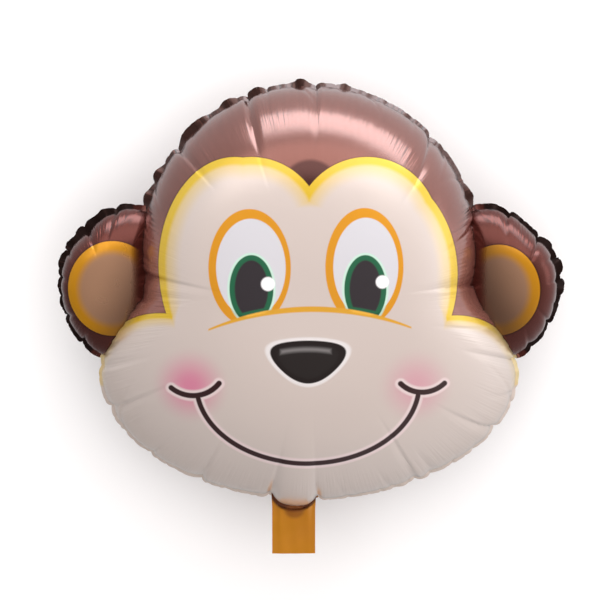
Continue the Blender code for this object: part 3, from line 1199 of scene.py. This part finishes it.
class Shapes(Graph):
    """Draws flat shapes by their distance, in metres, from their outlines: negative inside."""

    def start(self) -> Socket:
        """Returns Object coordinates, and keeps them flattened for the shapes."""
        place = self.place()
        parts = self.add("SeparateXYZ", {0: place})
        self.across, self.up = parts.outputs[0], parts.outputs[1]
        self.flat = self.add("CombineXYZ", {0: self.across, 1: self.up}).outputs[0]
        return place

    def circle(self, middle: Place, radius: float) -> Socket:
        """Returns the distance from a circle."""
        return self.math("SUBTRACT", self.vector("DISTANCE", self.flat, (*middle, 0.0)).outputs["Value"], radius)

    def oval(self, middle: Place, half_width: float, half_height: float) -> Socket:
        """Returns the distance from an ellipse, right near its outline."""
        inverse = (1 / half_width, 1 / half_height, 1.0)
        away = self.vector("SUBTRACT", self.flat, (*middle, 0.0)).outputs[0]
        once = self.vector("MULTIPLY", away, inverse).outputs[0]
        share = self.vector("LENGTH", once).outputs["Value"]
        slope = self.vector("LENGTH", self.vector("MULTIPLY", once, inverse).outputs[0]).outputs["Value"]
        return self.math("DIVIDE", self.math("MULTIPLY", share, self.math("SUBTRACT", share, 1.0)), slope)

    def arc(
        self, middle: Place, radius: float, turn: float, half_angle: float, half_width: float
    ) -> Socket:
        """Adds a round-ended arc that hangs below its middle.

        Args:
            middle: Its middle.
            radius: Its radius.
            turn: Degrees by which it is turned, counter-clockwise.
            half_angle: Degrees from its lowest point to each end.
            half_width: Half of its line's width.

        Returns:
            The distance from it.
        """
        turn, half_angle = math.radians(turn), math.radians(half_angle)
        away = self.vector("SUBTRACT", self.flat, (*middle, 0.0)).outputs[0]
        aside = self.vector("DOT_PRODUCT", away, (math.cos(turn), math.sin(turn), 0.0)).outputs["Value"]
        aside = self.math("ABSOLUTE", aside)
        down = self.vector("DOT_PRODUCT", away, (math.sin(turn), -math.cos(turn), 0.0)).outputs["Value"]
        end = (radius * math.sin(half_angle), radius * math.cos(half_angle), 0.0)
        folded = self.add("CombineXYZ", {0: aside, 1: down}).outputs[0]
        cap = self.vector("DISTANCE", folded, end).outputs["Value"]
        ring = self.math("SUBTRACT", self.vector("LENGTH", away).outputs["Value"], radius)
        ring = self.math("ABSOLUTE", ring)
        past = self.vector("DOT_PRODUCT", folded, (math.cos(half_angle), -math.sin(half_angle), 0.0)).outputs["Value"]
        return self.math("SUBTRACT", self.level(self.math("GREATER_THAN", past, 0.0), ring, cap), half_width)

    def both(self, *distances: object) -> Socket:
        """Returns the distance from all of the shapes together."""
        total = distances[0]
        for distance in distances[1:]:
            total = self.math("MINIMUM", total, distance)
        return total

    def within(self, *distances: object) -> Socket:
        """Returns the distance from what the shapes share."""
        total = distances[0]
        for distance in distances[1:]:
            total = self.math("MAXIMUM", total, distance)
        return total

    def stroke(self, distance: object, half_width: object) -> Socket:
        """Returns the distance from a line drawn along an outline."""
        return self.math("SUBTRACT", self.math("ABSOLUTE", distance), half_width)

    def ink(self, distance: object, blur: float = 0.0006, edge: float = 0.0) -> Socket:
        """Returns 1 inside a shape that is grown by edge, and 0 outside."""
        return self.rise(distance, edge - blur, edge + blur, 1.0, 0.0)


@dataclass(frozen=True)
class GoldFilm(Film):
    """The gold film of the filling neck, with a darker oval of painted shade where it looks dented, and a brown band
    of painted shadow under the chin.
    """

    chin_shadow_middle: Place = (-0.015, -0.186)
    chin_shadow_width: float = 0.0245
    chin_shadow_height: float = 0.0245
    dent_shade_middle: Place = (-0.0145, -0.2125)
    dent_shade_width: float = 0.0100
    dent_shade_height: float = 0.0075

    def material(self) -> Material:
        """Returns the finished material."""
        draw = Shapes(self.name)
        place = draw.start()
        tint = draw.noise(place, 28.0, 3.0, 0.5)
        colour = draw.blend(tint, GOLD_SHADOW, GOLD)
        # Painted shadow: the neck's top is browned where the chin overhangs it.
        chin_shadow = draw.oval(self.chin_shadow_middle, self.chin_shadow_width, self.chin_shadow_height)
        colour = draw.blend(draw.rise(chin_shadow, 0.0045, 0.0005), colour, CHIN_SHADOW_BROWN)
        # Painted shade: a darker oval just below, as in a dent.
        dent_shade = draw.oval(self.dent_shade_middle, self.dent_shade_width, self.dent_shade_height)
        colour = draw.blend(draw.rise(dent_shade, 0.002, -0.003, 0.0, 0.7), colour, DENT_SHADE_BROWN)
        return self.finish(draw, colour, 0.5, place)


@dataclass(frozen=True)
class Eye:
    """One printed eye: middles and half sizes of its ring, its white and its pupil, and its round glint."""

    ring: Place
    ring_width: float
    white: Place
    white_width: float
    pupil: Place
    pupil_width: float
    glint: Place
    glint_radius: float
    ring_height: float = 0.0562
    white_height: float = 0.047
    pupil_height: float = 0.0325


EYES = (
    Eye((-0.05735, 0.0383), 0.0396, (-0.0561, 0.0383), 0.0334, (-0.0555, 0.0182), 0.0211, (-0.0396, 0.0231), 0.0067),
    Eye((0.05275, 0.0393), 0.0375, (0.0540, 0.0393), 0.0312, (0.0536, 0.0182), 0.0202, (0.0699, 0.0249), 0.0063),
)


@dataclass(frozen=True)
class FacePrint(Film):
    """The printed front: a cream face with a yellow edge on brown film, and its features in flat ink."""

    brow_radius: float = 0.0695
    jowl_radius: float = 0.075
    chin_line: float = -0.082
    outline_width: float = 0.0006
    dark_reflection_middle: Place = (0.001, 0.113)
    dark_reflection_radius: float = 0.029
    muzzle_middle: Place = (0.003, -0.255)
    muzzle_radius: float = 0.254
    muzzle_reach: float = 0.0975
    nose_top_middle: Place = (-0.0012, -0.1765)
    nose_top_radius: float = 0.1454
    nose_flank_radius: float = 0.0823
    nose_tip_softness: float = 0.0232
    nose_corner_softness: float = 0.0250
    cream_mirror: float = 0.42
    thick_ink_mirror: float = 0.30
    ink_mirror: float = 0.10

    def face_edge(self, draw: Shapes) -> Socket:
        """Returns the distance from the cream face's outline: two brows, two temples, two jowls and what fills them.

        The fills are steepened, so that they stay clear of the outline's edge.
        """
        fills = (
            draw.oval((0.0, -0.020), 0.135, 0.100),
            draw.oval((0.0, 0.030), 0.105, 0.0750),
            draw.math("SUBTRACT", draw.up, self.chin_line),
        )
        return draw.both(
            draw.circle((-0.0558, 0.0745), self.brow_radius),
            draw.circle((0.0555, 0.0745), self.brow_radius),
            draw.oval((-0.0715, 0.040), 0.075, 0.104),
            draw.oval((0.060, 0.030), 0.084, 0.103),
            draw.circle((-0.140, -0.082), self.jowl_radius),
            draw.circle((0.138, -0.084), self.jowl_radius),
            *(draw.math("MULTIPLY", fill, 2.4) for fill in fills),
        )

    def material(self) -> Material:
        """Returns the finished material."""
        draw = Shapes(self.name)
        place = draw.start()
        edge = self.face_edge(draw)
        # Painted reflection: a dark red disc on the brown between the brows stands in for a dark reflection in the
        # foil.
        dark_reflection = draw.rise(draw.circle(self.dark_reflection_middle, self.dark_reflection_radius), 0.002, -0.003, 0.0, 0.92)
        brown = draw.blend(dark_reflection, self.brown(draw, place), DARK_REFLECTION_RED)
        colour = draw.blend(draw.ink(edge, edge=self.outline_width), brown, OUTLINE_BROWN)
        inward = draw.math("MULTIPLY", edge, draw.rise(draw.up, -0.035, 0.030, 1.7, 1.0))
        on_jowls = draw.rise(draw.math("ABSOLUTE", draw.across), 0.165, 0.200, 0.0, 0.75)
        yellow = draw.blend(on_jowls, EDGE_YELLOW, JOWL_YELLOW)
        inside = draw.blend(draw.rise(inward, -0.0054, -0.0100), yellow, INNER_YELLOW)
        _, nearness = draw.film_way()
        cream = draw.blend(draw.rise(nearness, 0.10, 0.65, 0.0, 0.28), CREAM, CREAM_SHADOW)
        inside = draw.blend(draw.rise(inward, -0.008, -0.024), inside, cream)
        face = draw.ink(edge)
        colour = draw.blend(face, colour, inside)
        brown_mirror = draw.level(self.beside_ears(draw), self.mirror, self.thick_ink_mirror)
        metallic = draw.level(face, brown_mirror, self.cream_mirror)
        colour = self.blush(draw, colour)
        colour, metallic = self.eyes(draw, colour, metallic)
        colour = self.muzzle_line(draw, colour)
        colour, metallic = self.nose(draw, colour, metallic)
        colour, metallic = self.smile(draw, colour, metallic)
        return self.finish(draw, colour, metallic, place, face)

    def beside_ears(self, draw: Shapes) -> Socket:
        """Returns 1 on the sides of the head beside the ears, where the ink is thicker and less like a mirror."""
        level_with_ears = draw.math("ABSOLUTE", draw.math("SUBTRACT", draw.up, 0.010))
        outer = draw.rise(draw.math("ABSOLUTE", draw.across), 0.125, 0.145)
        return draw.math("MULTIPLY", outer, draw.rise(level_with_ears, 0.085, 0.045))

    def blush(self, draw: Shapes, colour: object) -> Socket:
        """Adds the pink of the cheeks."""
        for middle, strength in (((-0.115, -0.077), 0.80), ((0.103, -0.077), 0.46)):
            near = draw.rise(draw.circle(middle, 0.0), 0.041, 0.002, 0.0, strength)
            colour = draw.blend(near, colour, BLUSH_PINK)
        return colour

    def eyes(self, draw: Shapes, colour: object, metallic: object) -> tuple[object, object]:
        """Adds the eyes: an orange ring, white, and a dark pupil with a green rim and a white glint."""
        muzzle = draw.math("MULTIPLY", draw.circle(self.muzzle_middle, self.muzzle_radius), -1.0)
        for eye in EYES:
            outer = draw.ink(draw.within(draw.oval(eye.ring, eye.ring_width, eye.ring_height), muzzle))
            colour = draw.blend(outer, colour, EYE_ORANGE)
            inner = draw.ink(draw.within(draw.oval(eye.white, eye.white_width, eye.white_height), muzzle))
            colour = draw.blend(inner, colour, EYE_WHITE)
            metallic = draw.level(inner, metallic, 0.15)
            dark = draw.within(draw.oval(eye.pupil, eye.pupil_width, eye.pupil_height), muzzle)
            colour = draw.blend(draw.ink(dark, 0.0010, 0.0020), colour, PALE_GREEN)
            colour = draw.blend(draw.ink(dark), colour, GREEN)
            colour = draw.blend(draw.ink(dark, 0.0010, -0.0050), colour, PUPIL_BLACK)
            glint = draw.ink(draw.circle(eye.glint, eye.glint_radius), 0.0010)
            colour = draw.blend(glint, colour, GLINT_WHITE)
        return colour, metallic

    def muzzle_line(self, draw: Shapes, colour: object) -> Socket:
        """Adds the orange arc over the muzzle, which thins out towards both ends."""
        share = draw.math("DIVIDE", draw.math("SUBTRACT", draw.across, 0.0005), self.muzzle_reach)
        fullness = draw.math("SUBTRACT", 1.0, draw.math("MULTIPLY", share, share))
        half_width = draw.math("MULTIPLY_ADD", fullness, 0.0019, 0.0008)
        line = draw.stroke(draw.circle(self.muzzle_middle, self.muzzle_radius), half_width)
        ends = draw.math("MULTIPLY_ADD", fullness, -0.05, 0.0)
        above = draw.math("SUBTRACT", -0.10, draw.up)
        return draw.blend(draw.ink(draw.within(line, ends, above), 0.0008), colour, MUZZLE_ORANGE)

    def nose(self, draw: Shapes, colour: object, metallic: object) -> tuple[object, object]:
        """Adds the nose: a rounded black triangle with a white edge and a grey sheen along its top."""
        top = draw.circle(self.nose_top_middle, self.nose_top_radius)
        left, right = (draw.circle((x, -0.0013), self.nose_flank_radius) for x in (0.0307, -0.0331))
        tip = draw.math("SMOOTH_MAX", left, right, self.nose_tip_softness)
        shape = draw.math("SMOOTH_MAX", tip, top, self.nose_corner_softness)
        colour = draw.blend(draw.ink(shape, 0.0012, 0.0031), colour, NOSE_EDGE)
        black = draw.ink(shape)
        colour = draw.blend(black, colour, NOSE_RIM)
        colour = draw.blend(draw.ink(shape, 0.0015, -0.0045), colour, NOSE_BLACK)
        under_edge = draw.stroke(draw.math("ADD", top, 0.0086), 0.0015)
        sides = draw.math("SUBTRACT", draw.math("ABSOLUTE", draw.math("ADD", draw.across, 0.0035)), 0.0235)
        sheen = draw.ink(draw.within(under_edge, sides), 0.0026)
        colour = draw.blend(draw.math("MULTIPLY", sheen, 0.75), colour, NOSE_SHEEN)
        return colour, draw.level(black, metallic, self.ink_mirror)

    def smile(self, draw: Shapes, colour: object, metallic: object) -> tuple[object, object]:
        """Adds the mouth, a wide curve with a short cross-line at each end, in dark ink with a white edge."""
        mouth = draw.stroke(draw.oval((-0.0015, -0.076), 0.1075, 0.078), 0.0025)
        shape = draw.both(
            draw.within(mouth, draw.math("ADD", draw.up, 0.084)),
            draw.arc((-0.1135, -0.053), 0.0335, 7.3, 45.0, 0.0027),
            draw.arc((0.110, -0.052), 0.031, -1.3, 43.9, 0.0027),
        )
        colour = draw.blend(draw.ink(shape, 0.0012, 0.0028), colour, SMILE_EDGE)
        dark = draw.ink(shape)
        return draw.blend(dark, colour, SMILE_INK), draw.level(dark, metallic, self.ink_mirror)


@dataclass(frozen=True)
class EarPrint(Film):
    """The ears: brown film with a tan inner ear, edged in yellow on its outer side, with painted shade darkening it
    towards its root.
    """

    root_dark: float = 0.165
    root_light: float = 0.232
    root_slant: float = 0.42
    depth: Colour = (0.50, 0.32, 0.30)
    inner_ears: tuple[tuple[Place, float, float], ...] = (
        ((-0.194, 0.0135), 0.044, 0.047),
        ((0.187, 0.012), 0.0405, 0.045),
    )

    def material(self) -> Material:
        """Returns the finished material."""
        draw = Shapes(self.name)
        place = draw.start()
        patch = draw.both(*(draw.oval(*inner_ear) for inner_ear in self.inner_ears))
        from_middle = draw.math("ABSOLUTE", draw.across)
        shown = draw.rise(from_middle, self.root_dark, self.root_dark + 0.012)
        outline = draw.math("MULTIPLY", draw.ink(patch, edge=0.0012), shown)
        brown = draw.blend(1.0, self.brown(draw, place), (*self.depth, 1.0), "MULTIPLY")
        colour = draw.blend(outline, brown, OUTLINE_BROWN)
        inner = draw.blend(draw.rise(patch, -0.006, -0.016), EAR_GOLD, EAR_TAN)
        # Painted shade: the inner ear darkens towards its root and its bottom, a little more on the right ear.
        slanted = draw.math("MULTIPLY_ADD", draw.up, self.root_slant, from_middle)
        slanted = draw.math("MULTIPLY_ADD", draw.across, -0.05, slanted)
        shade = draw.rise(slanted, self.root_light, self.root_dark, 0.0, 0.80)
        inner = draw.blend(shade, inner, EAR_ROOT_SHADE)
        ink = draw.math("MULTIPLY", draw.ink(patch), shown)
        colour = draw.blend(ink, colour, inner)
        return self.finish(draw, colour, draw.level(ink, self.mirror, 0.6), place, draw.math("MULTIPLY", ink, 0.5))


@dataclass(frozen=True)
class WrinkleTree:
    """A Geometry Nodes tree that crinkles the film and folds it finely towards the seam, then dresses it."""

    crinkle_height: float = 0.00022
    crinkle_size: float = 0.030
    fold_height: float = 0.00045
    fold_pitch: float = 0.0075
    seed: int = 4

    def sizes(self) -> dict[str, float]:
        """Returns the values of the tree's named inputs."""
        return {
            "Crinkle Height": self.crinkle_height,
            "Crinkle Size": self.crinkle_size,
            "Fold Height": self.fold_height,
            "Fold Pitch": self.fold_pitch,
            "Seed": self.seed,
        }

    def build(self, materials: list[Material]) -> bpy.types.NodeTree:
        """Builds the tree.

        Args:
            materials: The finishes, in the order of the zones.

        Returns:
            The tree.
        """
        tree = bpy.data.node_groups.new("film_wrinkles", "GeometryNodeTree")
        face = tree.interface
        face.new_socket("Geometry", in_out="INPUT", socket_type="NodeSocketGeometry")
        for name, value in self.sizes().items():
            kind = "NodeSocketInt" if isinstance(value, int) else "NodeSocketFloat"
            face.new_socket(name, in_out="INPUT", socket_type=kind).default_value = value
        face.new_socket("Geometry", in_out="OUTPUT", socket_type="NodeSocketGeometry")
        nodes = Nodes(tree)
        given = nodes.add("NodeGroupInput").outputs
        moves = {"Geometry": given["Geometry"], "Offset": self.push(nodes, given)}
        moved = nodes.add("GeometryNodeSetPosition", moves).outputs[0]
        shape = nodes.add("GeometryNodeRealizeInstances", {0: moved}).outputs[0]
        zone = nodes.add("GeometryNodeInputNamedAttribute", {"Name": "film_zone"}, data_type="INT").outputs[0]
        for index, material in enumerate(materials):
            same = nodes.add("FunctionNodeCompare", {"A": zone, "B": index}, data_type="INT", operation="EQUAL")
            dress = {"Geometry": shape, "Selection": same.outputs[0], "Material": material}
            shape = nodes.add("GeometryNodeSetMaterial", dress).outputs[0]
        nodes.add("NodeGroupOutput", {0: shape})
        return tree

    @staticmethod
    def noise(nodes: Nodes, place: object, size: object, seed: object) -> Socket:
        """Adds a noise between -0.5 and 0.5, with features of a size.

        Args:
            nodes: The tree.
            place: Where it is read.
            size: The size of its features.
            seed: Picks one of many.

        Returns:
            The noise.
        """
        scale = nodes.math("DIVIDE", 1.0, size)
        noise = nodes.add("TexNoise", {"Detail": 1.0, "Roughness": 0.4}, noise_dimensions="4D")
        for name, value in (("Vector", place), ("Scale", scale), ("W", seed)):
            nodes.feed(noise.inputs[name], value)
        return nodes.math("SUBTRACT", noise.outputs[0], 0.5)

    def push(self, nodes: Nodes, given: bpy.types.NodeOutputs) -> Socket:
        """Adds the film's small waves, along its normals.

        The seam's rows, and the neck, whose way is left at zero, stay as they are.

        Args:
            nodes: The tree.
            given: The tree's inputs.

        Returns:
            How far each point moves.
        """
        way = nodes.add("GeometryNodeInputNamedAttribute", {"Name": "foil_way"}, data_type="FLOAT_VECTOR").outputs[0]
        across, up, nearness = nodes.add("SeparateXYZ", {0: way}).outputs
        place = nodes.add("GeometryNodeInputPosition").outputs[0]
        crinkle = self.noise(nodes, place, given["Crinkle Size"], given["Seed"])
        crinkle = nodes.math("MULTIPLY", crinkle, given["Crinkle Height"])
        flat = nodes.add("CombineXYZ", {0: across, 1: up}).outputs[0]
        fold = self.noise(nodes, flat, given["Fold Pitch"], given["Seed"])
        fold = nodes.math("MULTIPLY", nodes.math("MULTIPLY", fold, given["Fold Height"]), nearness)
        on_sheet = nodes.math("GREATER_THAN", nodes.math("ABSOLUTE", across), 0.0)
        apart = nodes.math("SUBTRACT", 1.0, nodes.math("POWER", nearness, 12.0))
        height = nodes.math("MULTIPLY", nodes.math("ADD", crinkle, fold), apart)
        height = nodes.math("MULTIPLY", height, on_sheet)
        normal = nodes.add("GeometryNodeInputNormal").outputs[0]
        return nodes.add("VectorMath", {0: normal, "Scale": height}, operation="SCALE").outputs[0]

    def apply(self, piece: bpy.types.Object, materials: list[Material]) -> None:
        """Runs the tree on a piece and keeps its result as the piece's mesh.

        Args:
            piece: The piece.
            materials: The finish of each zone.
        """
        tree = self.build(materials)
        modifier = piece.modifiers.new("film_wrinkles", "NODES")
        modifier.node_group = tree
        names = {item.name: item.identifier for item in tree.interface.items_tree if item.in_out == "INPUT"}
        for name, value in self.sizes().items():
            modifier[names[name]] = value
        graph = bpy.context.evaluated_depsgraph_get()
        done = bpy.data.meshes.new_from_object(
            piece.evaluated_get(graph), preserve_all_data_layers=True, depsgraph=graph
        )
        piece.modifiers.remove(modifier)
        plain = piece.data
        piece.data = done
        done.name = plain.name + "_film"
        bpy.data.meshes.remove(plain)


@dataclass
class Balloon:
    """The foil balloon: its envelope, with fine folds and finishes."""

    seam_height: float

    @staticmethod
    def finishes() -> list[Material]:
        """Returns the materials, in the order of the zones."""
        return [
            FacePrint("printed_face_film").material(),
            EarPrint("printed_ear_film", coat=0.35, rim_start=0.62, rim_end=0.80, rim_shade=0.90).material(),
            BrownFilm("brown_film").material(),
            GoldFilm("gold_neck_film", roughness=0.30).material(),
        ]

    def build(self) -> bpy.types.Object:
        """Builds the balloon.

        Returns:
            Its one piece.
        """
        mesh = Envelope(seam_height=self.seam_height).build()
        finishes = self.finishes()
        for finish in finishes:
            mesh.materials.append(finish)
        piece = bpy.data.objects.new("balloon_envelope", mesh)
        bpy.context.scene.collection.objects.link(piece)
        WrinkleTree().apply(piece, finishes)
        return piece


@dataclass
class Studio:
    """The pale floor, the soft light and the camera.

    The room's bands go from straight down, 0, to straight up, 1, and its lean is where it is brighter.
    """

    aim: tuple[float, float, float]
    camera_distance: float = 2.6
    camera_tilt: float = 4.0
    frame_width: float = 0.600
    sensor_width: float = 36.0
    floor_size: float = 9.0
    shade_radius: float = 0.25
    shade_corners: int = 48
    shade_depth: float = 0.001
    room_strength: float = 0.92
    room_lean: tuple[float, float, float] = (0.38, 0.48, 0.0)
    room_bands: tuple[tuple[float, Colour], ...] = (
        (0.15, (0.66, 0.65, 0.66)),
        (0.45, (0.64, 0.63, 0.64)),
        (0.58, (0.60, 0.58, 0.58)),
        (0.81, (0.46, 0.41, 0.39)),
        (0.93, (0.24, 0.18, 0.16)),
    )

    @staticmethod
    def floor_paper() -> Material:
        """Returns the floor's plain white paper."""
        graph = Graph("floor_paper")
        shade = graph.noise(graph.place(), 3.0)
        colour = graph.blend(shade, (0.95, 0.95, 0.955, 1.0), (0.97, 0.97, 0.975, 1.0))
        return graph.principled({"Base Color": colour, "Roughness": 0.9, "Specular IOR Level": 0.1})

    def floor(self) -> None:
        """Adds the floor, and under it a dark sheet that only the foil mirrors, as the balloon's own shade."""
        paper = self.floor_paper()
        half, reach = self.floor_size / 2, self.shade_radius
        turns = [2 * math.pi * index / self.shade_corners for index in range(self.shade_corners)]
        depth = -self.shade_depth
        sheets = {
            "floor": [(-half, -half, 0.0), (half, -half, 0.0), (half, half, 0.0), (-half, half, 0.0)],
            "shade_under_balloon": [(reach * math.cos(turn), reach * math.sin(turn), depth) for turn in turns],
        }
        for name, corners in sheets.items():
            mesh = bpy.data.meshes.new(name)
            mesh.from_pydata(corners, [], [list(range(len(corners)))])
            mesh.materials.append(paper)
            sheet = bpy.data.objects.new(name, mesh)
            bpy.context.scene.collection.objects.link(sheet)
            sheet.visible_glossy = name != "floor"
            sheet.visible_camera = name == "floor"

    def light(
        self, name: str, place: tuple[float, float, float], size: tuple[float, float], watts: float,
        colour: Colour = (1.0, 1.0, 1.0), mirrored: bool = True, shadows: bool = True,
    ) -> None:
        """Adds a soft light that faces the balloon.

        Args:
            name: Its name.
            place: Where it stands.
            size: Its width and height.
            watts: Its power.
            colour: Its colour.
            mirrored: Whether the foil mirrors it.
            shadows: Whether the balloon stands in its way.
        """
        lamp = bpy.data.lights.new(name, "AREA")
        lamp.shape = "RECTANGLE"
        lamp.size, lamp.size_y = size
        lamp.energy = watts
        lamp.color = colour
        lamp.use_shadow = shadows
        holder = bpy.data.objects.new(name, lamp)
        holder.location = place
        holder.rotation_euler = (Vector(self.aim) - Vector(place)).to_track_quat("-Z", "Y").to_euler()
        holder.visible_glossy = mirrored
        holder.visible_camera = False
        bpy.context.scene.collection.objects.link(holder)

    def surroundings(self) -> None:
        """Lights the room: warm and dim overhead, paler towards the horizon, and palest beyond the head's top."""
        world = bpy.data.worlds.new("studio")
        world.use_nodes = True
        nodes = Nodes(world.node_tree)
        way = nodes.add("TexCoord").outputs["Generated"]
        up = nodes.add("SeparateXYZ", {0: way}).outputs[2]
        ramp = nodes.add("ValToRGB", {0: nodes.add("MapRange", {"Value": up, "From Min": -1.0}).outputs[0]})
        for index, (position, colour) in enumerate(self.room_bands):
            stop = ramp.color_ramp.elements[index] if index < 2 else ramp.color_ramp.elements.new(position)
            stop.position, stop.color = position, (*colour, 1.0)
        lean = nodes.vector("DOT_PRODUCT", way, self.room_lean).outputs["Value"]
        background = world.node_tree.nodes["Background"]
        nodes.feed(background.inputs[0], ramp.outputs[0])
        nodes.feed(background.inputs[1], nodes.math("ADD", lean, self.room_strength))
        bpy.context.scene.world = world

    def camera(self) -> None:
        """Adds the camera, which looks down on the face as the photograph does."""
        tilt = math.radians(self.camera_tilt)
        back = Vector((0.0, math.sin(tilt), math.cos(tilt)))
        data = bpy.data.cameras.new("camera")
        data.sensor_width = self.sensor_width
        data.lens = self.sensor_width * self.camera_distance / self.frame_width
        data.clip_end = 50
        camera = bpy.data.objects.new("camera", data)
        camera.location = Vector(self.aim) + back * self.camera_distance
        camera.rotation_euler = (-tilt, 0.0, 0.0)
        bpy.context.scene.collection.objects.link(camera)
        bpy.context.scene.camera = camera

    def build(self) -> None:
        """Builds the studio."""
        self.floor()
        self.surroundings()
        self.light("overhead_fill", (0.35, 0.3, 3.0), (4.5, 4.5), 72, mirrored=False)
        self.light("overhead_wash", (-0.2, -0.4, 3.0), (4.5, 4.5), 60, mirrored=False, shadows=False)
        self.light("top_softbox", (0.30, 1.7, 0.36), (2.1, 0.64), 13.5, (0.80, 1.0, 1.08))
        self.light("top_bank", (0.0, 1.5, 1.28), (2.8, 0.75), 5.6, (1.0, 0.88, 0.83))
        self.light("right_softbox", (1.9, 0.5, 0.55), (1.0, 0.8), 1.5)
        self.camera()
        bpy.context.scene.view_settings.view_transform = "Standard"


def main() -> None:
    """Builds the balloon, its finishes and the studio."""
    logging.basicConfig(level=logging.INFO, format="%(name)s: %(message)s")
    _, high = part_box(NODE)
    seam_height = high[2] - HeadLobe().half_thickness
    Studio(aim=(-0.009, 0.0, seam_height)).build()
    LOG.info("studio: floor, lights and camera")
    balloon = Balloon(seam_height=seam_height).build()
    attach(balloon, BODY)
    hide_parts(NODE)
    LOG.info("%s: %d faces", balloon.name, len(balloon.data.polygons))
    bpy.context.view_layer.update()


if __name__ == "__main__":
    main()
